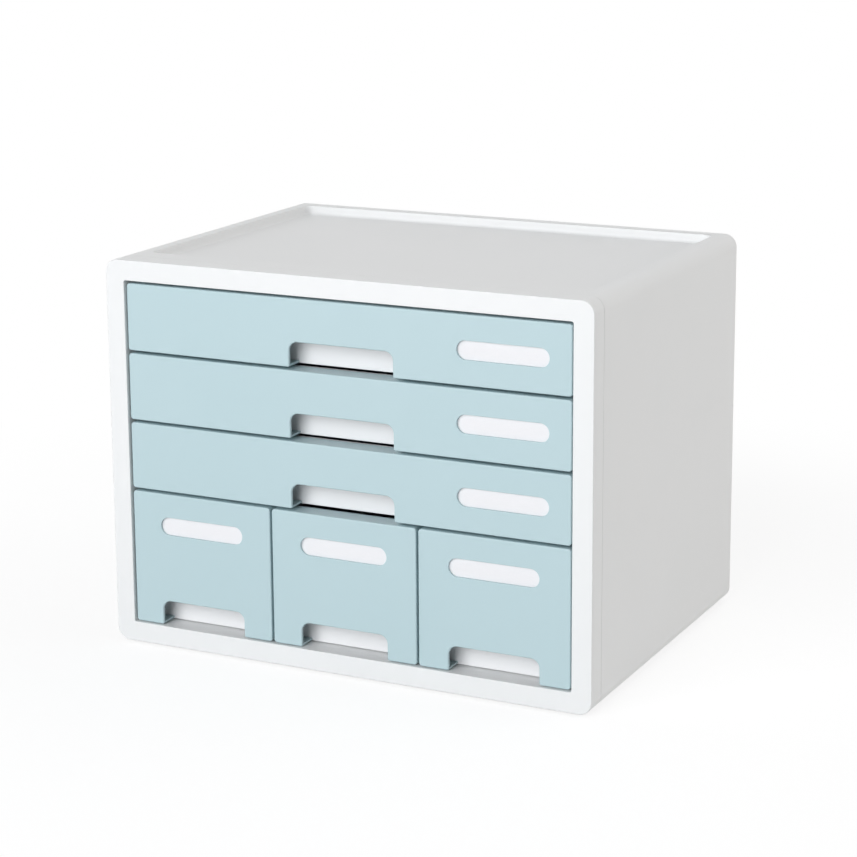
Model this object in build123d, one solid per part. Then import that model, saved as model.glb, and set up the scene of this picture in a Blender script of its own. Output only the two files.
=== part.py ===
from build123d import *

import os
from dataclasses import dataclass

# A desktop cabinet with three wide drawers over a row of three small ones, in millimetres.
# X runs across the front, Y from the front to the back, Z up; the origin is under the middle.

# Case
case_width = 355.0
case_depth = 262.0
case_height = 268.0
case_corner = 9.0
case_wall = 2.6
case_back_chamfer = 0.6

# Clearances and allowances that all pieces share
fit_gap = 0.15
run_gap = 0.3
cut_overrun = 4.0
pick_tolerance = 0.01

# Tray pressed into the top of the case
recess_side = 15.0
recess_front = 33.0
recess_back = 8.5
recess_depth = 7.0
recess_corner = 6.0
recess_floor_round = 2.4
recess_edge_chamfer = 0.8

# Front frame
side_bar = 14.0
top_bar = 14.0
bottom_bar = 14.0
frame_depth = 16.0
frame_face = 2.8
frame_skin = 2.4
frame_edge_chamfer = 0.6
frame_opening_chamfer = 0.4
opening_corner = 1.4
tongue_reach = 6.0
tongue_wall = 2.0
seam_chamfer = 0.5

# Grid of drawers
wide_rows = 3
small_columns = 3
wide_front_height = 46.0
row_gap = 2.0
column_gap = 1.5
side_gap = 1.2
floor_gap = 0.8

# Drawer fronts
front_recess = 1.4
front_depth = 14.1
front_plate = 1.8
front_wall = 1.8
front_corner = 2.2
front_edge_chamfer = 0.9
wide_pull_width = 76.0
small_pull_width = 64.0
pull_height = 17.0
pull_corner = 6.0

# Label windows, cards and the rails that hold the cards
window_width = 64.0
window_height = 12.6
wide_window_inset = 47.2
small_window_share = 0.21
card_lap = 2.0
card_thickness = 0.5
rail_wall = 1.2
rail_lip = 1.4
rail_lip_thickness = 1.0

# Snap clips that hold a front on its tray
clip_width = 8.0
clip_thickness = 2.0
clip_hook = 0.9
clip_nose = 2.4
clip_edge_inset = 9.0
wide_clip_inset = 30.0
small_clip_inset = 10.0

# Trays
tray_wall = 2.0
tray_floor = 2.0
tray_plate = 2.0
tray_plate_inset = 0.4
tray_corner = 6.0
tray_floor_chamfer = 2.0
tray_rear_gap = 5.0
wide_rim_drop = 3.0
small_tray_gap = 0.8
skid_width = 4.0
skid_inset = 12.0

# Runner panels and the flanges of the wide trays that run on them
runner_plate = 2.2
runner_ribs = 4
runner_rib_wall = 1.8
runner_setback = 0.8
flange_reach = 8.0
flange_thickness = 2.2
flange_side_gap = 1.0
ledge_tray_gap = 2.0
ledge_thickness = 2.2
guide_reach = 4.0
guide_thickness = 1.6
guide_gap = 0.5
stop_height = 2.0
stop_length = 8.0
stop_setback = 29.0

# Mid shelf, floor panel and dividers
shelf_plate = 2.0
shelf_setback = 8.0
shelf_ledge_reach = 5.0
shelf_ledge_thickness = 2.2
shelf_stop_setback = 60.0
shelf_stop_drop = 3.5
shelf_stop_wall = 2.0
shelf_stop_width = 40.0
shelf_stop_clearance = 1.0
stop_tab_width = 30.0
floor_plate = 2.2
floor_ribs = 5
floor_rib_wall = 1.8
floor_rib_inset = 12.0
floor_rib_setback = 1.0
divider_wall = 2.0
divider_tab = 14.0
divider_tab_shares = (0.2, 0.8)

# Back panel
back_inset = 1.0
back_plate = 2.4
back_lip_reach = 5.0
back_lip_wall = 2.0

# Feet
foot_stand = 1.5
foot_socket = 1.0
foot_diameter = 16.0
foot_side_inset = 34.0
foot_end_inset = 30.0

# Heights
case_top = foot_stand + case_height
case_middle = foot_stand + case_height / 2
inner_floor = foot_stand + case_wall
recess_underside = case_top - recess_depth - case_wall
opening_width = case_width - 2 * side_bar
opening_height = case_height - top_bar - bottom_bar
opening_bottom = foot_stand + bottom_bar
opening_top = opening_bottom + opening_height
opening_middle = opening_bottom + opening_height / 2
row_pitch = wide_front_height + row_gap
lowest_wide = opening_top - wide_rows * row_pitch
small_top = lowest_wide - row_gap
small_bottom = opening_bottom + floor_gap
shelf_top = lowest_wide - run_gap
shelf_underside = shelf_top - shelf_plate
small_rim = shelf_underside - shelf_stop_drop - shelf_stop_clearance

# Distances behind the front face
front_back = front_recess + front_depth
plate_back = front_back + tray_plate
runner_front = plate_back + runner_setback
tongue_end = frame_depth + tongue_reach
back_plane = case_depth - back_inset - back_plate
tray_rear = back_plane - tray_rear_gap
panel_rear = back_plane - fit_gap
shelf_stop_rear = shelf_stop_setback + shelf_stop_wall

# Widths
wide_front_width = opening_width - 2 * side_gap
small_front_width = (wide_front_width - (small_columns - 1) * column_gap) / small_columns
column_pitch = small_front_width + column_gap
runner_face = opening_width / 2
wide_box_width = opening_width - 2 * (flange_side_gap + flange_reach)
small_box_width = column_pitch - divider_wall - 2 * small_tray_gap
tongue_inset = case_wall + fit_gap

# Travel of the drawers from closed to their stops
wide_travel = tray_rear - stop_setback - 2 * stop_length - runner_front - run_gap
small_travel = tray_rear - tray_wall - shelf_stop_rear - run_gap


@dataclass
class Drawer:
    """Sizes of one kind of drawer, with the lower edge of its front at zero and its middle at X zero."""

    width: float
    height: float
    pull_width: float
    window_x: float
    window_z: float
    clip_inset: float
    box_width: float
    rim: float
    plate_top: float


def y_at(distance):
    """Y of the plane that lies this far behind the front face."""
    return distance - case_depth / 2


def slab(outline, near, far):
    """Solid with an outline of the front view, between two distances behind the front face."""
    return extrude(Plane.XZ.offset(-y_at(near)) * outline, amount=near - far)


def block(x, y, z):
    """Box between pairs of limits; those in Y are distances behind the front face."""
    limits = [x, [y_at(distance) for distance in y], z]
    middle = [(low + high) / 2 for low, high in limits]
    size = [abs(high - low) for low, high in limits]
    return Pos(*middle) * Box(*size)


def pan(width, near, far, bottom, top, corner):
    """Upright solid with rounded plan corners, centred in X."""
    plan = Pos(0, (y_at(near) + y_at(far)) / 2, bottom) * RectangleRounded(width, far - near, corner)
    return extrude(plan, amount=top - bottom)


def edges_at(solid, axis, place):
    """Edges that lie in one plane square to an axis."""
    return solid.edges().filter_by_position(axis, place - pick_tolerance, place + pick_tolerance)


def case_outline(inset):
    """Outline of the case in the front view, drawn in by an inset."""
    width = case_width - 2 * inset
    return Pos(0, case_middle) * RectangleRounded(width, case_height - 2 * inset, case_corner - inset)


def opening_outline():
    """Outline of the frame's opening in the front view."""
    return Pos(0, opening_middle) * RectangleRounded(opening_width, opening_height, opening_corner)


def recess_form(grow):
    """Space of the tray in the top, grown by a wall."""
    near = recess_front - grow
    far = case_depth - recess_back + grow
    floor = case_top - recess_depth - grow
    width = case_width - 2 * (recess_side - grow)
    return pan(width, near, far, floor, case_top + cut_overrun, recess_corner + grow)


def foot_places():
    """Name and plan position of each foot."""
    x = case_width / 2 - foot_side_inset
    y = case_depth / 2 - foot_end_inset
    return {
        "front_left_foot": (-x, -y),
        "front_right_foot": (x, -y),
        "rear_left_foot": (-x, y),
        "rear_right_foot": (x, y),
    }


def foot_disc(place, diameter, bottom, top):
    """Upright disc at a foot's place."""
    x, y = place
    return Pos(x, y, (bottom + top) / 2) * Cylinder(diameter / 2, top - bottom)


def case_shell():
    """Sleeve of the case: top with its tray, sides and bottom in one moulding."""
    skin = slab(case_outline(0), frame_depth, case_depth)
    skin = chamfer(edges_at(skin, Axis.Y, y_at(frame_depth)), seam_chamfer)
    skin = chamfer(edges_at(skin, Axis.Y, y_at(case_depth)), case_back_chamfer)
    recess = recess_form(0)
    skin -= fillet(edges_at(recess, Axis.Z, case_top - recess_depth), recess_floor_round)
    half_width = case_width / 2 - recess_side
    rim = [
        edge
        for edge in edges_at(skin, Axis.Z, case_top)
        if abs(edge.center().X) <= half_width + pick_tolerance
        and y_at(recess_front) - pick_tolerance <= edge.center().Y
        and edge.center().Y <= y_at(case_depth - recess_back) + pick_tolerance
    ]
    skin = chamfer(rim, recess_edge_chamfer)
    hollow = slab(case_outline(case_wall), frame_depth - cut_overrun, case_depth + cut_overrun)
    shell = skin - (hollow - recess_form(case_wall))
    for place in foot_places().values():
        socket = foot_disc(place, foot_diameter + 2 * fit_gap, 0, foot_stand + foot_socket)
        shell -= socket
    return shell


def front_frame():
    """Ring round the drawers: a channel open at the back, with a tongue that plugs into the sleeve."""
    ring = slab(case_outline(0), 0, frame_depth)
    ring = chamfer(edges_at(ring, Axis.Y, y_at(0)), frame_edge_chamfer)
    ring = chamfer(edges_at(ring, Axis.Y, y_at(frame_depth)), seam_chamfer)
    ring -= slab(opening_outline(), -cut_overrun, frame_depth + cut_overrun)
    opening_edges = [
        edge
        for edge in edges_at(ring, Axis.Y, y_at(0))
        if abs(edge.center().X) <= opening_width / 2 + pick_tolerance
        and abs(edge.center().Z - opening_middle) <= opening_height / 2 + pick_tolerance
    ]
    ring = chamfer(opening_edges, frame_opening_chamfer)
    tongue_outline = case_outline(tongue_inset)
    inside = case_outline(tongue_inset + tongue_wall)
    ring += slab(tongue_outline - inside, frame_face, tongue_end)
    skin = Rectangle(opening_width + 2 * frame_skin, opening_height + 2 * frame_skin)
    ring -= slab(inside - Pos(0, opening_middle) * skin, frame_face, frame_depth + cut_overrun)
    return ring


def back_panel():
    """Plate that closes the sleeve, with a lip along its sides and lower edge."""
    outline = case_outline(tongue_inset)
    plate = slab(outline, back_plane, back_plane + back_plate)
    lip = slab(outline - case_outline(tongue_inset + back_lip_wall), back_plane - back_lip_reach, back_plane)
    half_width = case_width / 2
    top_run = block((-half_width, half_width), (tray_rear - cut_overrun, back_plane),
                    (recess_underside - fit_gap, case_top))
    return plate + (lip - top_run)


def wide_bottoms():
    """Height of the lower edge of each wide front, from the top down."""
    highest = opening_top - row_gap - wide_front_height
    return [highest - index * row_pitch for index in range(wide_rows)]


def small_middles():
    """X of the middle of each small drawer, from left to right."""
    first = -column_pitch * (small_columns - 1) / 2
    return [first + index * column_pitch for index in range(small_columns)]


def right_runner():
    """Panel beside the wide drawers: a ledge with a front stop and an anti-tip guide for each."""
    near = frame_depth + fit_gap
    outer = runner_face + runner_plate
    top = recess_underside - fit_gap
    panel = block((runner_face, outer), (near, panel_rear), (inner_floor, top))
    notch_top = inner_floor + max(tongue_wall, back_lip_wall) + 2 * fit_gap
    notch_x = (runner_face - cut_overrun, outer + cut_overrun)
    notch_z = (inner_floor - cut_overrun, notch_top)
    panel -= block(notch_x, (near - cut_overrun, tongue_end + fit_gap), notch_z)
    panel -= block(notch_x, (back_plane - back_lip_reach - fit_gap, panel_rear + cut_overrun), notch_z)

    rib_near = tongue_end + floor_rib_setback
    rib_far = back_plane - back_lip_reach - floor_rib_setback - runner_rib_wall
    rib_step = (rib_far - rib_near) / (runner_ribs - 1)
    rib_x = (outer, case_width / 2 - case_wall - fit_gap)
    for index in range(runner_ribs):
        start = rib_near + index * rib_step
        panel += block(rib_x, (start, start + runner_rib_wall), (inner_floor + case_corner, top))

    run = (runner_front, panel_rear)
    ledge_x = (runner_face - flange_side_gap - flange_reach + ledge_tray_gap, runner_face)
    guide_x = (runner_face - guide_reach, runner_face)
    stop_y = (runner_front, runner_front + stop_length)
    for bottom in wide_bottoms():
        rim = bottom + wide_front_height - wide_rim_drop
        ledge_top = rim - flange_thickness - run_gap - stop_height
        guide_bottom = rim + guide_gap
        panel += block(ledge_x, run, (ledge_top - ledge_thickness, ledge_top))
        panel += block(ledge_x, stop_y, (ledge_top, ledge_top + stop_height))
        panel += block(guide_x, run, (guide_bottom, guide_bottom + guide_thickness))
    shelf_x = (runner_face - shelf_ledge_reach, runner_face)
    panel += block(shelf_x, run, (shelf_underside - shelf_ledge_thickness, shelf_underside))
    return panel


def divider_tabs():
    """Distances behind the front face between which each tab of a divider lies."""
    length = panel_rear - runner_front
    starts = [runner_front + share * length - divider_tab / 2 for share in divider_tab_shares]
    return [(start, start + divider_tab) for start in starts]


def divider_middles():
    """X of each divider between the small drawers."""
    first = -column_pitch * (small_columns - 2) / 2
    return [first + index * column_pitch for index in range(small_columns - 1)]


def tab_slots(bottom, top):
    """Slots for the tabs of all dividers through a plate."""
    half_wall = divider_wall / 2 + fit_gap
    slots = Part()
    for middle in divider_middles():
        for near, far in divider_tabs():
            slots += block((middle - half_wall, middle + half_wall), (near - fit_gap, far + fit_gap),
                           (bottom - cut_overrun, top + cut_overrun))
    return slots


def mid_shelf():
    """Shelf over the small drawers, with a stop under it for each of them."""
    half_width = runner_face - fit_gap
    shelf_y = (plate_back + shelf_setback, panel_rear)
    shelf = block((-half_width, half_width), shelf_y, (shelf_underside, shelf_top))
    shelf -= tab_slots(shelf_underside, shelf_top)
    for middle in small_middles():
        stop_x = (middle - shelf_stop_width / 2, middle + shelf_stop_width / 2)
        shelf += block(stop_x, (shelf_stop_setback, shelf_stop_rear),
                       (shelf_underside - shelf_stop_drop, shelf_underside))
    return shelf


def floor_panel():
    """Floor under the small drawers, carried by ribs on the bottom of the case."""
    half_width = runner_face - fit_gap
    underside = opening_bottom - floor_plate
    panel = block((-half_width, half_width), (frame_depth + fit_gap, panel_rear), (underside, opening_bottom))
    panel -= tab_slots(underside, opening_bottom)
    rib_y = (tongue_end + floor_rib_setback, back_plane - back_lip_reach - floor_rib_setback)
    reach = half_width - floor_rib_inset
    rib_step = 2 * reach / (floor_ribs - 1)
    for index in range(floor_ribs):
        middle = -reach + index * rib_step
        panel += block((middle - floor_rib_wall / 2, middle + floor_rib_wall / 2), rib_y,
                       (inner_floor, underside))
    return panel


def divider(middle):
    """Upright plate between two small drawers, with tabs in the shelf and in the floor."""
    x = (middle - divider_wall / 2, middle + divider_wall / 2)
    plate = block(x, (runner_front, panel_rear), (opening_bottom, shelf_underside - fit_gap))
    for tab in divider_tabs():
        plate += block(x, tab, (opening_bottom - floor_plate + fit_gap, shelf_top - fit_gap))
    return plate


def foot(place):
    """Rubber foot pushed into its socket."""
    return foot_disc(place, foot_diameter, 0, foot_stand + foot_socket)


def front_outline(drawer):
    """Outline of a drawer front with its finger cut-out."""
    face = RectangleRounded(drawer.width, drawer.height, front_corner)
    pull = RectangleRounded(drawer.pull_width, 2 * pull_height, pull_corner)
    return Pos(0, drawer.height / 2) * face - pull


def clip_places(drawer):
    """X and Z of each snap clip of a drawer front."""
    reach = drawer.width / 2 - drawer.clip_inset
    return [(x, z) for x in (-reach, reach) for z in (clip_edge_inset, drawer.height - clip_edge_inset)]


def snap_clip(x, z):
    """Clip from the back of a front through the tray's plate, with a hook behind the plate."""
    half_width = clip_width / 2
    low = z - clip_thickness / 2
    high = z + clip_thickness / 2
    root = y_at(front_recess + front_plate)
    grip = y_at(plate_back + fit_gap)
    tip = y_at(plate_back + fit_gap + clip_nose)
    profile = Polyline((root, low), (tip, low), (tip, high), (grip, high + clip_hook), (grip, high),
                       (root, high), close=True)
    side = Plane.YZ.offset(x - half_width) * make_face(profile)
    return extrude(side, amount=clip_width)


def card_rails(x, z):
    """Rails behind a label window: a wall round the card and lips that keep it in."""
    near = front_recess + front_plate
    lip_near = near + 2 * fit_gap + card_thickness
    far = lip_near + rail_lip_thickness
    inner_width = window_width + 2 * (card_lap + fit_gap)
    inner_height = window_height + 2 * (card_lap + fit_gap)
    inside = Rectangle(inner_width, inner_height)
    wall = Rectangle(inner_width + 2 * rail_wall, inner_height + 2 * rail_wall) - inside
    lips = inside - Rectangle(inner_width, inner_height - 2 * rail_lip)
    place = Pos(x, z)
    return slab(place * wall, near, far) + slab(place * lips, lip_near, far)


def drawer_front(drawer):
    """Hollow front: a face plate with a rim along its outer edges, which the finger cut-out breaks."""
    shell = slab(front_outline(drawer), front_recess, front_back)
    shell = chamfer(edges_at(shell, Axis.Y, y_at(front_recess)), front_edge_chamfer)
    hollow = Rectangle(drawer.width - 2 * front_wall, drawer.height - 2 * front_wall)
    inside = Pos(0, drawer.height / 2) * hollow
    shell -= slab(inside, front_recess + front_plate, front_back + cut_overrun)
    window = Pos(drawer.window_x, drawer.window_z) * SlotOverall(window_width, window_height)
    shell -= slab(window, front_recess - cut_overrun, front_recess + front_plate + cut_overrun)
    shell += card_rails(drawer.window_x, drawer.window_z)
    for x, z in clip_places(drawer):
        shell += snap_clip(x, z)
    return shell


def label_card(drawer):
    """Blank card behind the window of a front."""
    card = Rectangle(window_width + 2 * card_lap, window_height + 2 * card_lap)
    near = front_recess + front_plate + fit_gap
    return slab(Pos(drawer.window_x, drawer.window_z) * card, near, near + card_thickness)


def tray_runners(drawer):
    """Flanges along both sides of a wide tray, each with a stop lug near its rear end."""
    inner = drawer.box_width / 2
    outer = inner + flange_reach
    underside = drawer.rim - flange_thickness
    far = tray_rear - tray_corner - tray_wall
    flanges = Part()
    for x in ((-outer, -inner), (inner, outer)):
        flanges += block(x, (plate_back, far), (underside, drawer.rim))
        lug = (tray_rear - stop_setback - stop_length, tray_rear - stop_setback)
        flanges += block(x, lug, (underside - stop_height, underside))
    return flanges


def tray_skids(drawer):
    """Two skids under a small tray and the tab on its rear wall that meets the shelf's stop."""
    reach = drawer.box_width / 2 - skid_inset
    skid_y = (plate_back + skid_inset, tray_rear - skid_inset)
    skids = Part()
    for middle in (-reach, reach):
        skids += block((middle - skid_width / 2, middle + skid_width / 2), skid_y,
                       (run_gap - floor_gap, 0))
    tab_x = (-stop_tab_width / 2, stop_tab_width / 2)
    return skids + block(tab_x, (tray_rear - tray_wall, tray_rear), (drawer.rim, drawer.plate_top))


def drawer_tray(drawer, slides):
    """Open box with a plate across its front that closes the hollow drawer front, and with its slides."""
    half_width = drawer.box_width / 2
    outer_corner = tray_corner + tray_wall
    box = pan(drawer.box_width, front_back, tray_rear, 0, drawer.rim, outer_corner)
    box += block((-half_width, half_width), (front_back, front_back + outer_corner), (0, drawer.rim))
    plate = Rectangle(drawer.width - 2 * tray_plate_inset, drawer.plate_top)
    box += slab(Pos(0, drawer.plate_top / 2) * plate, front_back, plate_back)
    inner_width = drawer.box_width - 2 * tray_wall
    inner_z = (tray_floor, drawer.rim + cut_overrun)
    space = pan(inner_width, plate_back, tray_rear - tray_wall, *inner_z, tray_corner)
    space += block((-inner_width / 2, inner_width / 2), (plate_back, plate_back + tray_corner), inner_z)
    box -= chamfer(edges_at(space, Axis.Z, tray_floor), tray_floor_chamfer)
    box += slides
    slot = Rectangle(clip_width + 2 * fit_gap, clip_thickness + 2 * fit_gap)
    for x, z in clip_places(drawer):
        box -= slab(Pos(x, z) * slot, front_back - cut_overrun, plate_back + fit_gap)
    return box


def drawer_pieces(names, drawer, slides, places):
    """Tray, front and card of each drawer of one kind, at its place."""
    made = {
        "tray": drawer_tray(drawer, slides),
        "front": drawer_front(drawer),
        "card": label_card(drawer),
    }
    return {f"{name}_{part}": place * made[part] for name, place in zip(names, places) for part in made}


def wide_drawers():
    """The three wide drawers, from the top down."""
    drawer = Drawer(
        width=wide_front_width,
        height=wide_front_height,
        pull_width=wide_pull_width,
        window_x=wide_front_width / 2 - wide_window_inset,
        window_z=wide_front_height / 2,
        clip_inset=wide_clip_inset,
        box_width=wide_box_width,
        rim=wide_front_height - wide_rim_drop,
        plate_top=wide_front_height,
    )
    places = [Pos(0, 0, bottom) for bottom in wide_bottoms()]
    names = ("top_drawer", "middle_drawer", "lower_drawer")
    return drawer_pieces(names, drawer, tray_runners(drawer), places)


def small_drawers():
    """The row of small drawers, from left to right."""
    height = small_top - small_bottom
    rails_height = window_height + 2 * (card_lap + fit_gap + rail_wall)
    spare_height = height - pull_height - 2 * front_wall - rails_height
    drawer = Drawer(
        width=small_front_width,
        height=height,
        pull_width=small_pull_width,
        window_x=0,
        window_z=height - front_wall - small_window_share * spare_height - rails_height / 2,
        clip_inset=small_clip_inset,
        box_width=small_box_width,
        rim=small_rim - small_bottom,
        plate_top=shelf_underside - run_gap - small_bottom,
    )
    places = [Pos(middle, 0, small_bottom) for middle in small_middles()]
    names = ("left_small_drawer", "centre_small_drawer", "right_small_drawer")
    return drawer_pieces(names, drawer, tray_skids(drawer), places)


def cabinet():
    """Every piece of the cabinet by its name."""
    runner = right_runner()
    pieces = {
        "case_shell": case_shell(),
        "front_frame": front_frame(),
        "back_panel": back_panel(),
        "right_runner": runner,
        "left_runner": mirror(runner, about=Plane.YZ),
        "mid_shelf": mid_shelf(),
        "floor_panel": floor_panel(),
    }
    for name, middle in zip(("left_divider", "right_divider"), divider_middles()):
        pieces[name] = divider(middle)
    for name, place in foot_places().items():
        pieces[name] = foot(place)
    return pieces | wide_drawers() | small_drawers()


os.makedirs("parts", exist_ok=True)
for piece_name, piece in cabinet().items():
    export_step(piece, f"parts/{piece_name}.step")
print("travel of the wide drawers", wide_travel, "and of the small ones", small_travel)
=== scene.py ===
import logging
import math
from dataclasses import dataclass, field
from enum import Enum
from typing import Any

import bmesh
import bpy
from mathutils import Matrix, Vector


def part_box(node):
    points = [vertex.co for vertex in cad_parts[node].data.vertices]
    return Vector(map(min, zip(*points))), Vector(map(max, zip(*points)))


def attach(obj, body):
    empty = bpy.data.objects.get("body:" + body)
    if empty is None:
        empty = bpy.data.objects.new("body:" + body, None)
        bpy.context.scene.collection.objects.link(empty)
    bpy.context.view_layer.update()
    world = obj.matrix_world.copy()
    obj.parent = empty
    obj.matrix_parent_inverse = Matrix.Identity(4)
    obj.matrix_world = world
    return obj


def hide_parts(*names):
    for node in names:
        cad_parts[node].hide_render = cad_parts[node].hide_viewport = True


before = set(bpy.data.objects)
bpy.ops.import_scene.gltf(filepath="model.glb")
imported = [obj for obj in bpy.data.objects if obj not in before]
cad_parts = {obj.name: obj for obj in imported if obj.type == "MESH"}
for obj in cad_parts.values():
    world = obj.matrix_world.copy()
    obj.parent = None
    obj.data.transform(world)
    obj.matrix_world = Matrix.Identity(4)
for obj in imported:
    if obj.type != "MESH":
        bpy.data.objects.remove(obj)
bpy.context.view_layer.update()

# A desktop cabinet of white and pale blue moulded plastic: three wide drawers over three small ones.
# Lengths are in millimetres until a mesh or a socket takes them, and X, Y and Z are those of the solids.

MM = 0.001
# Points that lie closer than this are made one.
WELD = 0.002
WHITE = (1.0, 1.0, 1.0, 1.0)
log = logging.getLogger("cabinet")

# X, Y and radius of a corner in a drawing
Corner = tuple[float, float, float]


class Slot(Enum):
    """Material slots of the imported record."""

    CASE = "case_plastic"
    TRAY = "tray_plastic"
    FRONT = "front_plastic"
    CARD = "label_card"
    FOOT = "foot_rubber"


class Line(Enum):
    """Closed lines in the drawing of a drawer front."""

    OUTLINE = 0.0
    RIM = 1.0
    INSIDE = 2.0
    CLIP = 3.0
    RAIL = 4.0


def linear(colour: str) -> tuple[float, float, float, float]:
    """Turns an sRGB hex colour into the linear values that a shader takes.

    Args:
        colour: Six hex digits after a hash sign.

    Returns:
        Red, green, blue and an alpha of one.
    """
    shares = [int(colour[i:i + 2], 16) / 255 for i in (1, 3, 5)]
    values = [s / 12.92 if s <= 0.04045 else ((s + 0.055) / 1.055) ** 2.4 for s in shares]
    return (values[0], values[1], values[2], 1.0)


def add_node(
        tree: bpy.types.NodeTree, kind: str, values: dict[Any, Any] | None = None, **settings: Any) -> Any:
    """Adds one node to a tree.

    Args:
        tree: Shader or geometry tree that takes the node.
        kind: Blender's name of the node type.
        values: What each input gets, by its name or number: outputs to link, in a list if several,
            or a value.
        settings: The node's own properties.

    Returns:
        The new node.
    """
    made = tree.nodes.new(kind)
    for name, value in settings.items():
        setattr(made, name, value)
    for key, value in (values or {}).items():
        for one in value if isinstance(value, list) else [value]:
            if isinstance(one, bpy.types.NodeSocket):
                tree.links.new(one, made.inputs[key])
            else:
                made.inputs[key].default_value = one
    return made


def eye_rays(tree: bpy.types.NodeTree) -> bpy.types.NodeSocket:
    """Tells the rays that reach the eye, also by way of a glossy or clear face, from those that only light.

    Args:
        tree: Shader tree that takes the nodes.

    Returns:
        One for camera, glossy and transmission rays, and zero for the others.
    """
    path = add_node(tree, "ShaderNodeLightPath").outputs
    mirrored = add_node(tree, "ShaderNodeMath", {
        0: path["Is Glossy Ray"], 1: path["Is Transmission Ray"]}, operation="MAXIMUM")
    return add_node(tree, "ShaderNodeMath", {
        0: path["Is Camera Ray"], 1: mirrored.outputs["Value"]}, operation="MAXIMUM").outputs["Value"]


def add_material(name: str) -> bpy.types.Material:
    """Makes a material with an empty tree.

    Args:
        name: The material's name.

    Returns:
        The new material.
    """
    made = bpy.data.materials.new(name)
    made.use_nodes = True
    made.node_tree.nodes.clear()
    return made


def add_object(name: str, data: bpy.types.ID) -> bpy.types.Object:
    """Puts a mesh, lamp or camera into the scene.

    Args:
        name: The object's name.
        data: What the object shows.

    Returns:
        The new object, at the origin.
    """
    made = bpy.data.objects.new(name, data)
    bpy.context.scene.collection.objects.link(made)
    return made


def add_piece(
        name: str, mesh: bpy.types.Mesh, body: str, node: str, bend: float) -> bpy.types.Object:
    """Puts a finished mesh into the scene in place of a CAD node, smooth between its sharp edges.

    Args:
        name: Name of the new piece.
        mesh: Its mesh, at its place in the frame.
        body: CAD body that it moves with.
        node: CAD node that it stands for.
        bend: Angle in degrees from which an edge stays sharp.

    Returns:
        The new object.
    """
    mesh.shade_smooth()
    mesh.set_sharp_from_angle(angle=math.radians(bend))
    made = add_object(name, mesh)
    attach(made, body)
    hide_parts(node)
    normals = made.modifiers.new("flat_faces", "WEIGHTED_NORMAL")
    normals.keep_sharp = True
    log.info("%s: %d faces, rides on %s", name, len(mesh.polygons), body)
    return made


@dataclass(frozen=True)
class MouldedPlastic:
    """Plastic or rubber from a spark-eroded mould: its fine grain breaks up highlights."""

    name: str
    colour: str
    shade: str
    roughness: float
    gloss_spread: float = 0.05
    refraction: float = 1.53
    grain: float = 0.9
    grain_height: float = 0.012
    grain_strength: float = 0.25
    cloud: float = 70.0

    def material(self) -> bpy.types.Material:
        """Builds the material: a faint flow cloud in the colour, and the grain in gloss and relief.

        Returns:
            The material, under the finish's name.
        """
        made = add_material(self.name)
        tree = made.node_tree
        place = add_node(tree, "ShaderNodeTexCoord").outputs["Object"]
        # Real cavity grain is about 0.1 mm; it is drawn coarser here so that it shows at arm's length.
        grain = add_node(tree, "ShaderNodeTexNoise", {
            "Vector": place, "Scale": 1 / (self.grain * MM), "Detail": 3.0, "Roughness": 0.6})
        cloud = add_node(tree, "ShaderNodeTexNoise", {
            "Vector": place, "Scale": 1 / (self.cloud * MM), "Detail": 2.0, "Roughness": 0.5})
        tint = add_node(tree, "ShaderNodeMix", {
            "Factor": cloud.outputs["Fac"], "A": linear(self.colour), "B": linear(self.shade)},
            data_type="RGBA")
        gloss = add_node(tree, "ShaderNodeMapRange", {
            "Value": grain.outputs["Fac"], "From Min": 0.3, "From Max": 0.7,
            "To Min": self.roughness - self.gloss_spread, "To Max": self.roughness + self.gloss_spread})
        relief = add_node(tree, "ShaderNodeBump", {
            "Height": grain.outputs["Fac"], "Strength": self.grain_strength,
            "Distance": self.grain_height * MM})
        surface = add_node(tree, "ShaderNodeBsdfPrincipled", {
            "Base Color": tint.outputs["Result"], "Roughness": gloss.outputs["Result"],
            "Normal": relief.outputs["Normal"], "IOR": self.refraction})
        add_node(tree, "ShaderNodeOutputMaterial", {"Surface": surface.outputs["BSDF"]})
        return made


@dataclass(frozen=True)
class CardPaper:
    """Uncoated white card: dull, with short fibres that show as faint flecks."""

    name: str
    colour: str
    fleck: str
    roughness: float = 0.85
    refraction: float = 1.45
    fibre: float = 1.2
    fibre_height: float = 0.02
    fibre_strength: float = 0.2
    fibre_lie: tuple[float, float, float] = (0.35, 1.0, 1.0)

    def material(self) -> bpy.types.Material:
        """Builds the material, with flecks drawn out along X as the fibres lie.

        Returns:
            The material, under the finish's name.
        """
        made = add_material(self.name)
        tree = made.node_tree
        place = add_node(tree, "ShaderNodeTexCoord").outputs["Object"]
        lie = add_node(tree, "ShaderNodeMapping", {"Vector": place, "Scale": self.fibre_lie})
        fibres = add_node(tree, "ShaderNodeTexNoise", {
            "Vector": lie.outputs["Vector"], "Scale": 1 / (self.fibre * MM), "Detail": 4.0,
            "Roughness": 0.65})
        tint = add_node(tree, "ShaderNodeMix", {
            "Factor": fibres.outputs["Fac"], "A": linear(self.colour), "B": linear(self.fleck)},
            data_type="RGBA")
        relief = add_node(tree, "ShaderNodeBump", {
            "Height": fibres.outputs["Fac"], "Strength": self.fibre_strength,
            "Distance": self.fibre_height * MM})
        surface = add_node(tree, "ShaderNodeBsdfPrincipled", {
            "Base Color": tint.outputs["Result"], "Roughness": self.roughness,
            "Normal": relief.outputs["Normal"], "IOR": self.refraction})
        add_node(tree, "ShaderNodeOutputMaterial", {"Surface": surface.outputs["BSDF"]})
        return made


# Moulded ABS is satin: lamps show as broad pale patches on the case, never as a mirror image.
WHITE_CASE = MouldedPlastic("white_abs_satin_moulded", "#EFEFEF", "#ECEDED", roughness=0.42)
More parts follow.
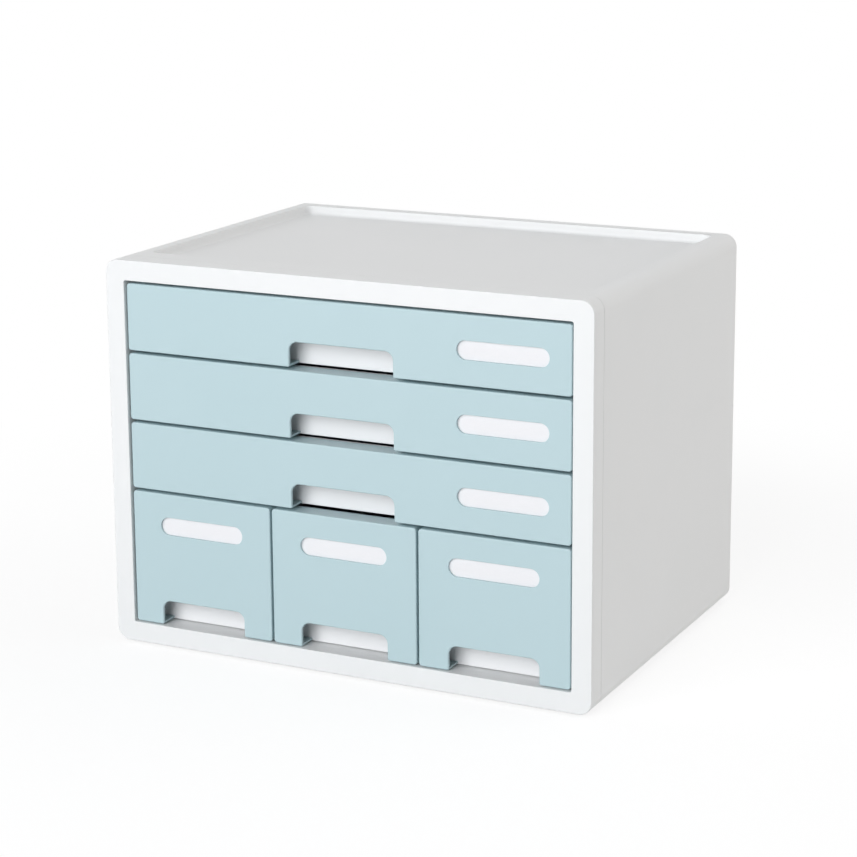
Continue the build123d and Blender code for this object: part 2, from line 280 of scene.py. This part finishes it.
# Moulded polystyrene is a little glossier and whiter, so the trays look cleaner than the case.
WHITE_TRAY = MouldedPlastic("white_polystyrene_moulded", "#F0F0F1", "#EEEEEF", roughness=0.36)
# Dyed ABS is blue through and through, so the rims and the hollow look as blue as the face.
BLUE_FRONT = MouldedPlastic("pale_blue_abs_satin_moulded", "#BBD1D6", "#B8CFD4", roughness=0.4)
# Uncoated card has hardly any gloss, so the labels look evenly white from all sides.
CARD = CardPaper("white_card_uncoated", "#F2F0F2", "#EDECEE")
# Moulded rubber spreads highlights until it looks plain grey.
RUBBER = MouldedPlastic("grey_rubber_moulded", "#8B8E90", "#85888A", roughness=0.75)


@dataclass
class Moulding:
    """Moulded piece whose CAD form only lacks the small radius that a mould leaves on its edges."""

    node: str
    body: str
    slot: Slot
    material: bpy.types.Material
    edge_round: float = 0.3
    edge_steps: int = 2
    bend: float = 50.0
    flatness: float = 0.3

    def build(self) -> bpy.types.Object:
        """Copies the node's mesh, joins its faces and rounds its outer edges.

        Returns:
            The piece that stands for the node.
        """
        form = bmesh.new()
        form.from_mesh(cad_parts[self.node].data)
        bmesh.ops.remove_doubles(form, verts=form.verts[:], dist=WELD * MM)
        bmesh.ops.dissolve_limit(
            form, angle_limit=math.radians(self.flatness), verts=form.verts[:], edges=form.edges[:],
            delimit={"NORMAL"})
        sharp = [
            edge for edge in form.edges
            if edge.is_manifold and edge.calc_face_angle_signed() > math.radians(self.bend)
        ]
        bmesh.ops.bevel(
            form, geom=sharp, offset=self.edge_round * MM, segments=self.edge_steps, profile=0.5,
            affect="EDGES", clamp_overlap=True)
        mesh = bpy.data.meshes.new(f"{self.node}_moulded")
        form.to_mesh(mesh)
        form.free()
        return self.dress(mesh)

    def dress(self, mesh: bpy.types.Mesh) -> bpy.types.Object:
        """Gives the mesh its finish and puts it into the scene.

        Args:
            mesh: The rounded form.

        Returns:
            The piece that stands for the node.
        """
        mesh.materials.append(self.material)
        return add_piece(f"{self.node}_moulded", mesh, self.body, self.node, self.bend)


@dataclass
class FrontTree:
    """Geometry tree that gives a drawn front its depth, its label window, its clips and its card rails."""

    arc_steps: int = 9
    corner_steps: int = 10
    tree: bpy.types.NodeTree = field(init=False)
    sizes: bpy.types.NodeOutputs = field(init=False)

    def __post_init__(self) -> None:
        """Builds the tree."""
        self.tree = bpy.data.node_groups.new("hollow_front", "GeometryNodeTree")
        lengths = (
            "Depth", "Plate", "Edge Round", "Window Width", "Window Height", "Window Round",
            "Clip Width", "Clip Span", "Clip Rise", "Rail Length", "Rail Gap",
        )
        kinds = {"Drawing": "NodeSocketGeometry"}
        kinds |= dict.fromkeys(lengths, "NodeSocketFloat")
        kinds |= dict.fromkeys(("Window Centre", "Clip Centre", "Place"), "NodeSocketVector")
        kinds |= {"Finish": "NodeSocketMaterial"}
        for name, kind in kinds.items():
            self.tree.interface.new_socket(name, in_out="INPUT", socket_type=kind)
        self.tree.interface.new_socket("Front", in_out="OUTPUT", socket_type="NodeSocketGeometry")
        self.sizes = add_node(self.tree, "NodeGroupInput").outputs
        shell = self.shell()
        clips = self.clips()
        rails = self.rails()
        whole = add_node(self.tree, "GeometryNodeJoinGeometry", {"Geometry": [shell, clips, rails]})
        upright = add_node(self.tree, "GeometryNodeTransform", {
            "Geometry": whole.outputs[0], "Translation": self.sizes["Place"],
            "Rotation": (math.pi / 2, 0.0, 0.0)})
        real = add_node(self.tree, "GeometryNodeRealizeInstances", {"Geometry": upright.outputs[0]})
        dressed = add_node(self.tree, "GeometryNodeSetMaterial", {
            "Geometry": real.outputs[0], "Material": self.sizes["Finish"]})
        add_node(self.tree, "NodeGroupOutput", {"Front": dressed.outputs[0]})

    def drawn(self, line: Line) -> bpy.types.NodeSocket:
        """Picks one closed line of the drawing.

        Args:
            line: Which line it is.

        Returns:
            The line as a curve.
        """
        mark = add_node(
            self.tree, "GeometryNodeInputNamedAttribute", {"Name": "line"}, data_type="FLOAT")
        chosen = add_node(self.tree, "FunctionNodeCompare", {
            "A": mark.outputs["Attribute"], "B": line.value, "Epsilon": 0.1}, operation="EQUAL")
        return add_node(self.tree, "GeometryNodeMeshToCurve", {
            "Mesh": self.sizes["Drawing"], "Selection": chosen.outputs["Result"]}).outputs["Curve"]

    def edge_section(
            self, radius: bpy.types.NodeSocket, depth: bpy.types.NodeSocket) -> bpy.types.NodeSocket:
        """Draws the section of a wall with a rounded front edge; its X is the inset and its Y the depth.

        Args:
            radius: Radius of the edge.
            depth: Depth of the wall.

        Returns:
            The section as curves.
        """
        centre = add_node(self.tree, "ShaderNodeCombineXYZ", {"X": radius, "Y": radius})
        arc = add_node(self.tree, "GeometryNodeCurveArc", {
            "Resolution": self.arc_steps, "Radius": radius, "Start Angle": -math.pi / 2,
            "Sweep Angle": -math.pi / 2}, mode="RADIUS")
        edge = add_node(self.tree, "GeometryNodeTransform", {
            "Geometry": arc.outputs["Curve"], "Translation": centre.outputs["Vector"]})
        wall = self.straight_section(radius, depth)
        return add_node(self.tree, "GeometryNodeJoinGeometry", {
            "Geometry": [edge.outputs["Geometry"], wall]}).outputs["Geometry"]

    def straight_section(
            self, near: bpy.types.NodeSocket, far: bpy.types.NodeSocket) -> bpy.types.NodeSocket:
        """Draws the section of a straight wall.

        Args:
            near: Depth at which the wall starts.
            far: Depth at which it ends.

        Returns:
            The section as a curve.
        """
        start = add_node(self.tree, "ShaderNodeCombineXYZ", {"Y": near})
        end = add_node(self.tree, "ShaderNodeCombineXYZ", {"Y": far})
        return add_node(self.tree, "GeometryNodeCurvePrimitiveLine", {
            "Start": start.outputs["Vector"], "End": end.outputs["Vector"]},
            mode="POINTS").outputs["Curve"]

    def window(self) -> bpy.types.NodeSocket:
        """Draws the outline of the label window at its place.

        Returns:
            The outline as a curve.
        """
        blank = add_node(self.tree, "GeometryNodeCurvePrimitiveQuadrilateral", {
            "Width": self.sizes["Window Width"], "Height": self.sizes["Window Height"]},
            mode="RECTANGLE")
        half = add_node(self.tree, "ShaderNodeMath", {
            0: self.sizes["Window Height"], 1: 0.5}, operation="MULTIPLY")
        outline = add_node(self.tree, "GeometryNodeFilletCurve", {
            "Curve": blank.outputs["Curve"], "Count": self.corner_steps,
            "Radius": half.outputs["Value"], "Limit Radius": True}, mode="POLY")
        return add_node(self.tree, "GeometryNodeTransform", {
            "Geometry": outline.outputs["Curve"],
            "Translation": self.sizes["Window Centre"]}).outputs["Geometry"]

    def filled(self, lines: list[bpy.types.NodeSocket]) -> bpy.types.NodeSocket:
        """Fills the face between closed lines.

        Args:
            lines: Curves of the lines.

        Returns:
            The face, at depth zero.
        """
        edges = add_node(self.tree, "GeometryNodeJoinGeometry", {"Geometry": lines})
        return add_node(self.tree, "GeometryNodeFillCurve", {
            "Curve": edges.outputs["Geometry"]}, mode="NGONS").outputs["Mesh"]

    def sunk(self, face: bpy.types.NodeSocket, depth: bpy.types.NodeSocket) -> bpy.types.NodeSocket:
        """Moves a face back from the front.

        Args:
            face: The face, at depth zero.
            depth: How far it goes back.

        Returns:
            The face at that depth.
        """
        level = add_node(self.tree, "ShaderNodeMath", {0: depth, 1: -1.0}, operation="MULTIPLY")
        lift = add_node(self.tree, "ShaderNodeCombineXYZ", {"Z": level.outputs["Value"]})
        return add_node(self.tree, "GeometryNodeTransform", {
            "Geometry": face, "Translation": lift.outputs["Vector"]}).outputs["Geometry"]

    def shell(self) -> bpy.types.NodeSocket:
        """Sweeps the walls and closes them with the plate's two faces and the rim at the back.

        Returns:
            The closed shell, lying with its face up.
        """
        sizes = self.sizes
        rim = self.drawn(Line.RIM)
        window = self.window()
        runs = [
            (self.drawn(Line.OUTLINE), self.edge_section(sizes["Edge Round"], sizes["Plate"])),
            (rim, self.straight_section(sizes["Plate"], sizes["Depth"])),
            (window, self.edge_section(sizes["Window Round"], sizes["Plate"])),
        ]
        swept = [
            add_node(self.tree, "GeometryNodeCurveToMesh", {
                "Curve": path, "Profile Curve": section}).outputs["Mesh"]
            for path, section in runs
        ]
        walls = add_node(
            self.tree, "GeometryNodeJoinGeometry", {"Geometry": swept}).outputs["Geometry"]
        place = add_node(self.tree, "GeometryNodeInputPosition").outputs["Position"]
        height = add_node(self.tree, "ShaderNodeSeparateXYZ", {"Vector": place}).outputs["Z"]
        foremost = add_node(self.tree, "FunctionNodeCompare", {
            "A": height, "B": 0.0, "Epsilon": WELD / 2 * MM}, operation="EQUAL")
        rings = add_node(self.tree, "GeometryNodeMeshToCurve", {
            "Mesh": walls, "Selection": foremost.outputs["Result"]})
        closed = add_node(self.tree, "GeometryNodeJoinGeometry", {"Geometry": [
            walls, self.filled([rings.outputs["Curve"]]),
            self.sunk(self.filled([self.drawn(Line.INSIDE), window]), sizes["Plate"]),
            self.sunk(self.filled([rim]), sizes["Depth"])]})
        return add_node(self.tree, "GeometryNodeMergeByDistance", {
            "Geometry": closed.outputs["Geometry"], "Distance": WELD * MM}).outputs["Geometry"]

    def bar(self, line: Line, length: bpy.types.NodeSocket) -> bpy.types.NodeSocket:
        """Extrudes a drawn section along X.

        Args:
            line: The section's line.
            length: Length of the bar.

        Returns:
            The closed bar, with its middle at the origin.
        """
        face = self.filled([self.drawn(line)])
        sides = add_node(self.tree, "GeometryNodeExtrudeMesh", {
            "Mesh": face, "Offset Scale": length, "Individual": False})
        solid = add_node(self.tree, "GeometryNodeJoinGeometry", {
            "Geometry": [face, sides.outputs["Mesh"]]})
        welded = add_node(self.tree, "GeometryNodeMergeByDistance", {
            "Geometry": solid.outputs["Geometry"], "Distance": WELD * MM})
        half = add_node(self.tree, "ShaderNodeMath", {0: length, 1: -0.5}, operation="MULTIPLY")
        aside = add_node(self.tree, "ShaderNodeCombineXYZ", {"X": half.outputs["Value"]})
        return add_node(self.tree, "GeometryNodeTransform", {
            "Geometry": welded.outputs["Geometry"], "Translation": aside.outputs["Vector"],
            "Rotation": (0.0, math.pi / 2, 0.0)}).outputs["Geometry"]

    def clips(self) -> bpy.types.NodeSocket:
        """Sets a snap clip near each corner of the front.

        Returns:
            The four clips as instances.
        """
        grid = add_node(self.tree, "GeometryNodeMeshGrid", {
            "Size X": self.sizes["Clip Span"], "Size Y": self.sizes["Clip Rise"],
            "Vertices X": 2, "Vertices Y": 2})
        spots = add_node(self.tree, "GeometryNodeTransform", {
            "Geometry": grid.outputs["Mesh"], "Translation": self.sizes["Clip Centre"]})
        return add_node(self.tree, "GeometryNodeInstanceOnPoints", {
            "Points": spots.outputs["Geometry"],
            "Instance": self.bar(Line.CLIP, self.sizes["Clip Width"])}).outputs["Instances"]

    def rails(self) -> bpy.types.NodeSocket:
        """Sets a card rail under the label window and another, turned round, over it.

        Returns:
            The two rails as instances.
        """
        grid = add_node(self.tree, "GeometryNodeMeshGrid", {
            "Size X": 0.0, "Size Y": self.sizes["Rail Gap"], "Vertices X": 1, "Vertices Y": 2})
        spots = add_node(self.tree, "GeometryNodeTransform", {
            "Geometry": grid.outputs["Mesh"], "Translation": self.sizes["Window Centre"]})
        index = add_node(self.tree, "GeometryNodeInputIndex").outputs["Index"]
        turn = add_node(self.tree, "ShaderNodeMath", {0: index, 1: math.pi}, operation="MULTIPLY")
        round_about = add_node(self.tree, "ShaderNodeCombineXYZ", {"Z": turn.outputs["Value"]})
        return add_node(self.tree, "GeometryNodeInstanceOnPoints", {
            "Points": spots.outputs["Geometry"], "Rotation": round_about.outputs["Vector"],
            "Instance": self.bar(Line.RAIL, self.sizes["Rail Length"])}).outputs["Instances"]

    def grow(self, drawing: bpy.types.Mesh, values: dict[str, Any]) -> bpy.types.Mesh:
        """Runs the tree on one drawing.

        Args:
            drawing: Mesh of the drawn lines.
            values: What each of the tree's inputs gets, by its name.

        Returns:
            The front as a plain mesh with its faces pointing out.
        """
        carrier = add_object("drawing", drawing)
        grown = carrier.modifiers.new("grown", "NODES")
        grown.node_group = self.tree
        for socket in self.tree.interface.items_tree:
            if socket.in_out == "INPUT" and socket.name in values:
                grown[socket.identifier] = values[socket.name]
        result = carrier.evaluated_get(bpy.context.evaluated_depsgraph_get())
        mesh = bpy.data.meshes.new_from_object(result)
        carrier.modifiers.remove(grown)
        bpy.data.objects.remove(carrier)
        form = bmesh.new()
        form.from_mesh(mesh)
        bmesh.ops.recalc_face_normals(form, faces=form.faces[:])
        form.to_mesh(mesh)
        form.free()
        return mesh


@dataclass
class Front:
    """Hollow front of one drawer: a plate with a rim round it, which the finger cut-out breaks."""

    drawer: str
    pull_width: float
    clip_inset: float
    pull_height: float = 17.0
    depth: float = 14.1
    plate: float = 1.8
    wall: float = 1.8
    corner: float = 2.2
    foot_corner: float = 1.2
    inner_corner: float = 0.4
    pull_corner: float = 6.0
    corner_steps: int = 10
    edge_round: float = 1.0
    window_width: float = 64.0
    window_height: float = 12.6
    window_round: float = 0.35
    clip_edge_inset: float = 9.0
    clip_width: float = 8.0
    clip_thickness: float = 2.0
    clip_hook: float = 0.9
    clip_grip: float = 16.25
    clip_tip: float = 18.65
    clip_blunt: float = 0.15
    rail_play: float = 0.15
    rail_wall: float = 1.2
    rail_lip: float = 1.4
    rail_lip_thickness: float = 1.0
    bend: float = 40.0

    def rounded(self, corners: list[Corner]) -> list[Vector]:
        """Rounds the corners of a closed line.

        Args:
            corners: X, Y and radius of each corner.

        Returns:
            The points of the line.
        """
        points = []
        for index, (x, y, radius) in enumerate(corners):
            here = Vector((x, y))
            if not radius:
                points.append(here)
                continue
            back = (Vector(corners[index - 1][:2]) - here).normalized()
            ahead = (Vector(corners[(index + 1) % len(corners)][:2]) - here).normalized()
            half = back.angle(ahead) / 2
            centre = here + (back + ahead).normalized() * radius / math.sin(half)
            reach = radius / math.tan(half)
            start, end = here + back * reach - centre, here + ahead * reach - centre
            for step in range(self.corner_steps + 1):
                points.append(centre + start.slerp(end, step / self.corner_steps) * radius)
        return points

    def lines(self, width: float, height: float) -> dict[Line, list[Corner]]:
        """Draws the closed lines of the front: its outline, its rim, the plate inside it, and two sections.

        Args:
            width: Width of the front.
            height: Height of the front.

        Returns:
            X, Y and radius of each corner of each line.
        """
        side, pull = width / 2, self.pull_width / 2
        inside, low, high = side - self.wall, self.wall, height - self.wall
        outer = [
            (-side, 0.0, self.corner), (-side, height, self.corner), (side, height, self.corner),
            (side, 0.0, self.corner), (pull, 0.0, self.foot_corner), (pull, low, 0.0),
        ]
        foot = [(-pull, low, 0.0), (-pull, 0.0, self.foot_corner)]
        arch = [(pull, self.pull_height, self.pull_corner), (-pull, self.pull_height, self.pull_corner)]
        inner = [
            (inside, low, self.inner_corner), (inside, high, self.inner_corner),
            (-inside, high, self.inner_corner), (-inside, low, self.inner_corner),
        ]
        return {
            Line.OUTLINE: outer + arch + foot,
            Line.RIM: outer + inner + foot,
            Line.INSIDE: inner[::-1] + [outer[-1]] + arch + [foot[0]],
            Line.CLIP: self.clip_section(),
            Line.RAIL: self.rail_section(),
        }

    def clip_section(self) -> list[Corner]:
        """Draws the section of a snap clip; its X is the depth behind the face.

        Returns:
            X, Y and radius of each corner.
        """
        half, blunt = self.clip_thickness / 2, self.clip_blunt
        return [
            (self.plate, -half, 0.0), (self.clip_tip, -half, blunt), (self.clip_tip, half, blunt),
            (self.clip_grip, half + self.clip_hook, blunt), (self.clip_grip, half, 0.0),
            (self.plate, half, 0.0),
        ]

    def rail_section(self) -> list[Corner]:
        """Draws the section of the rail under the card; its X is the depth, its Y zero at the pocket.

        Returns:
            X, Y and radius of each corner.
        """
        card_low, card_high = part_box(f"{self.drawer}_card")
        pocket = self.plate + (card_high[1] - card_low[1]) / MM + 2 * self.rail_play
        back = pocket + self.rail_lip_thickness
        return [
            (self.plate, 0.0, 0.0), (pocket, 0.0, 0.0), (pocket, self.rail_lip, 0.0),
            (back, self.rail_lip, 0.0), (back, -self.rail_wall, 0.0), (self.plate, -self.rail_wall, 0.0),
        ]

    def drawing(self, width: float, height: float) -> bpy.types.Mesh:
        """Draws the closed lines from which the front grows.

        Args:
            width: Width of the front.
            height: Height of the front.

        Returns:
            A mesh of lines with the line's kind at each point.
        """
        points, edges, marks = [], [], []
        for line, corners in self.lines(width, height).items():
            first = len(points)
            points += [(x * MM, y * MM, 0.0) for x, y in self.rounded(corners)]
            count = len(points) - first
            edges += [(first + i, first + (i + 1) % count) for i in range(count)]
            marks += [line.value] * count
        mesh = bpy.data.meshes.new("front_drawing")
        mesh.from_pydata(points, edges, [])
        mesh.attributes.new("line", "FLOAT", "POINT").data.foreach_set("value", marks)
        return mesh

    def build(self, tree: FrontTree, material: bpy.types.Material) -> bpy.types.Object:
        """Grows the front at the place of its CAD node.

        Args:
            tree: The geometry tree of all fronts.
            material: The front's finish.

        Returns:
            The piece that stands for the node.
        """
        node = f"{self.drawer}_front"
        low, high = (Vector(corner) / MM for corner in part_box(node))
        card_low, card_high = (Vector(corner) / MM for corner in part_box(f"{self.drawer}_card"))
        middle = (low.x + high.x) / 2
        width, height = high.x - low.x, high.z - low.z
        card = (card_low + card_high) / 2
        lengths = {
            "Depth": self.depth, "Plate": self.plate, "Edge Round": self.edge_round,
            "Window Width": self.window_width, "Window Height": self.window_height,
            "Window Round": self.window_round, "Clip Width": self.clip_width,
            "Clip Span": width - 2 * self.clip_inset, "Clip Rise": height - 2 * self.clip_edge_inset,
            "Rail Length": card_high.x - card_low.x,
            "Rail Gap": card_high.z - card_low.z + 2 * self.rail_play,
        }
        spots = {
            "Window Centre": (card.x - middle, card.z - low.z, 0.0),
            "Clip Centre": (0.0, height / 2, 0.0),
            "Place": (middle, low.y, low.z),
        }
        values: dict[str, Any] = {name: length * MM for name, length in lengths.items()}
        values |= {name: tuple(value * MM for value in spot) for name, spot in spots.items()}
        values["Finish"] = material
        mesh = tree.grow(self.drawing(width, height), values)
        return add_piece(f"{node}_grown", mesh, self.drawer, node, self.bend)


@dataclass
class DrawerRow:
    """Drawers of one kind: each has a tray, a front and a card."""

    drawers: tuple[str, ...]
    pull_width: float
    clip_inset: float

    def build(self, tree: FrontTree, materials: dict[Slot, bpy.types.Material]) -> None:
        """Builds the pieces of each drawer.

        Args:
            tree: The geometry tree of all fronts.
            materials: Finish of each slot.
        """
        for drawer in self.drawers:
            Front(drawer, self.pull_width, self.clip_inset).build(tree, materials[Slot.FRONT])
            Moulding(f"{drawer}_tray", drawer, Slot.TRAY, materials[Slot.TRAY]).build()
            self.dress(f"{drawer}_card", materials[Slot.CARD])

    def dress(self, card: str, material: bpy.types.Material) -> None:
        """Gives a card, whose CAD form stays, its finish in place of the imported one.

        Args:
            card: Name of the card's node.
            material: Finish that the card takes.
        """
        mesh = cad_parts[card].data
        mesh.materials.clear()
        mesh.materials.append(material)
        log.info("%s: kept as it is", card)


@dataclass
class CaseBody:
    """Everything that stands still: the sleeve, the frame, the panels inside and the feet."""

    mouldings: tuple[str, ...] = (
        "case_shell", "front_frame", "back_panel", "left_runner", "right_runner", "mid_shelf",
        "floor_panel", "left_divider", "right_divider",
    )
    feet: tuple[str, ...] = ("front_left_foot", "front_right_foot", "rear_left_foot", "rear_right_foot")

    def build(self, materials: dict[Slot, bpy.types.Material]) -> None:
        """Builds the case and its feet.

        Args:
            materials: Finish of each slot.
        """
        for node in self.mouldings:
            Moulding(node, "case", Slot.CASE, materials[Slot.CASE]).build()
        for node in self.feet:
            Moulding(node, "case", Slot.FOOT, materials[Slot.FOOT]).build()


@dataclass(frozen=True)
class Lamp:
    """Square soft box that looks at the middle of the cabinet."""

    name: str
    power: float
    size: float
    place: tuple[float, float, float]
    colour: str
    target: tuple[float, float, float] = (0.0, 0.0, 130.0)

    def build(self) -> None:
        """Makes the lamp."""
        light = bpy.data.lights.new(self.name, "AREA")
        light.shape = "SQUARE"
        light.size = self.size * MM
        light.energy = self.power
        light.color = linear(self.colour)[:3]
        lamp = add_object(self.name, light)
        lamp.location = Vector(self.place) * MM
        aim = Vector(self.target) - Vector(self.place)
        lamp.rotation_euler = aim.to_track_quat("-Z", "Y").to_euler()


@dataclass
class Studio:
    """White table and dome, a large soft lamp in front, a weak one at the right, and the camera."""

    floor_reach: float = 6000.0
    floor: str = "#DCDCDC"
    shadow_floor: str = "#8C8C8C"
    shadow_glow: float = 0.79
    shadow_near: float = 250.0
    shadow_far: float = 700.0
    # The dome's light, and how it falls off by the Z, Y and X of the direction that it comes from
    ambient: float = 0.85
    overhead_share: float = 0.97
    overhead_rise: tuple[float, float] = (0.1, 0.8)
    front_share: float = 0.15
    front_to_back: tuple[float, float] = (-0.6, 0.3)
    left_share: float = 0.4
    left_to_right: tuple[float, float] = (-0.7, 0.1)
    lamps: tuple[Lamp, ...] = (
        Lamp("soft_box", power=243.0, size=4400.0, place=(-907.0, -4668.0, 1800.0), colour="#FBFDFF"),
        Lamp("side_fill", power=9.0, size=1500.0, place=(2300.0, 900.0, 700.0), colour="#FFFBF4"),
    )
    # The camera, with its angles in degrees
    eye: tuple[float, float, float] = (728.6, -1473.7, 561.1)
    yaw: float = -26.32
    pitch: float = 12.34
    roll: float = -0.38
    lens: float = 101.94
    sensor: float = 36.0
    shift: float = -0.1
    nearest: float = 50.0
    farthest: float = 50000.0

    def build(self) -> None:
        """Makes the floor, the light and the camera."""
        self.build_world()
        self.build_floor()
        for lamp in self.lamps:
            lamp.build()
        self.build_camera()

    def build_world(self) -> None:
        """Makes a dome of light, weaker in front and at the left, which the eye sees as plain white."""
        world = bpy.data.worlds.new("studio_dome")
        world.use_nodes = True
        tree = world.node_tree
        tree.nodes.clear()
        aim = add_node(tree, "ShaderNodeTexCoord").outputs["Generated"]
        axes = add_node(tree, "ShaderNodeSeparateXYZ", {"Vector": aim}).outputs
        low, high = self.overhead_rise
        overhead = add_node(tree, "ShaderNodeMapRange", {
            "Value": axes["Z"], "From Min": low, "From Max": high, "To Min": self.ambient,
            "To Max": self.ambient * self.overhead_share}, interpolation_type="SMOOTHSTEP")
        front, back = self.front_to_back
        ahead = add_node(tree, "ShaderNodeMapRange", {
            "Value": axes["Y"], "From Min": front, "From Max": back, "To Min": self.front_share},
            interpolation_type="SMOOTHSTEP")
        left, right = self.left_to_right
        aside = add_node(tree, "ShaderNodeMapRange", {
            "Value": axes["X"], "From Min": left, "From Max": right, "To Min": self.left_share},
            interpolation_type="SMOOTHSTEP")
        level = add_node(tree, "ShaderNodeMath", {
            0: ahead.outputs["Result"], 1: aside.outputs["Result"]}, operation="MULTIPLY")
        soft = add_node(tree, "ShaderNodeMath", {
            0: overhead.outputs["Result"], 1: level.outputs["Value"]}, operation="MULTIPLY")
        strength = add_node(tree, "ShaderNodeMapRange", {
            "Value": eye_rays(tree), "To Min": soft.outputs["Value"], "To Max": 1.0})
        dome = add_node(tree, "ShaderNodeBackground", {
            "Color": WHITE, "Strength": strength.outputs["Result"]})
        add_node(tree, "ShaderNodeOutputWorld", {"Surface": dome.outputs["Background"]})
        bpy.context.scene.world = world

    def build_floor(self) -> None:
        """Makes the table, which the eye sees as white but for a faint shadow near the cabinet."""
        reach = self.floor_reach * MM / 2
        mesh = bpy.data.meshes.new("table")
        corners = [(-reach, -reach, 0), (reach, -reach, 0), (reach, reach, 0), (-reach, reach, 0)]
        mesh.from_pydata(corners, [], [(0, 1, 2, 3)])
        made = add_material("white_sweep_paper")
        tree = made.node_tree
        lit = add_node(tree, "ShaderNodeBsdfDiffuse", {"Color": linear(self.floor)})
        faint = add_node(tree, "ShaderNodeBsdfDiffuse", {"Color": linear(self.shadow_floor)})
        glow = add_node(tree, "ShaderNodeEmission", {"Color": WHITE, "Strength": self.shadow_glow})
        near = add_node(tree, "ShaderNodeAddShader", {0: faint.outputs[0], 1: glow.outputs[0]})
        far = add_node(tree, "ShaderNodeEmission", {"Color": WHITE, "Strength": 1.0})
        place = add_node(tree, "ShaderNodeTexCoord").outputs["Object"]
        distance = add_node(tree, "ShaderNodeVectorMath", {0: place}, operation="LENGTH")
        away = add_node(tree, "ShaderNodeMapRange", {
            "Value": distance.outputs["Value"], "From Min": self.shadow_near * MM,
            "From Max": self.shadow_far * MM}, interpolation_type="SMOOTHSTEP")
        shown = add_node(tree, "ShaderNodeMixShader", {
            0: away.outputs["Result"], 1: near.outputs[0], 2: far.outputs[0]})
        seen = add_node(tree, "ShaderNodeMixShader", {
            0: eye_rays(tree), 1: lit.outputs[0], 2: shown.outputs[0]})
        add_node(tree, "ShaderNodeOutputMaterial", {"Surface": seen.outputs[0]})
        mesh.materials.append(made)
        table = add_object("table", mesh)

    def build_camera(self) -> None:
        """Makes the camera at the photograph's angle."""
        yaw, pitch, roll = (math.radians(angle) for angle in (self.yaw, self.pitch, self.roll))
        level_ahead = Vector((math.sin(yaw), math.cos(yaw), 0.0))
        ahead = level_ahead * math.cos(pitch) - Vector((0.0, 0.0, math.sin(pitch)))
        level = Vector((math.cos(yaw), -math.sin(yaw), 0.0))
        above = level.cross(ahead)
        right = level * math.cos(roll) + above * math.sin(roll)
        up = right.cross(ahead)
        data = bpy.data.cameras.new("camera")
        data.lens = self.lens
        data.sensor_width = self.sensor
        data.shift_y = self.shift
        data.clip_start = self.nearest * MM
        data.clip_end = self.farthest * MM
        camera = add_object("camera", data)
        turn = Matrix((right, up, -ahead)).transposed().to_4x4()
        camera.matrix_world = Matrix.Translation(Vector(self.eye) * MM) @ turn
        bpy.context.scene.camera = camera


def main() -> None:
    """Builds the cabinet's looks and the studio round it."""
    bpy.context.scene.view_settings.view_transform = "Standard"
    finishes = {
        Slot.CASE: WHITE_CASE, Slot.TRAY: WHITE_TRAY, Slot.FRONT: BLUE_FRONT, Slot.CARD: CARD,
        Slot.FOOT: RUBBER,
    }
    wide = ("top_drawer", "middle_drawer", "lower_drawer")
    small = ("left_small_drawer", "centre_small_drawer", "right_small_drawer")
    materials = {slot: finish.material() for slot, finish in finishes.items()}
    tree = FrontTree()
    CaseBody().build(materials)
    DrawerRow(wide, pull_width=76.0, clip_inset=30.0).build(tree, materials)
    DrawerRow(small, pull_width=64.0, clip_inset=10.0).build(tree, materials)
    Studio().build()


if __name__ == "__main__":
    logging.basicConfig(level=logging.INFO, format="%(message)s")
    main()
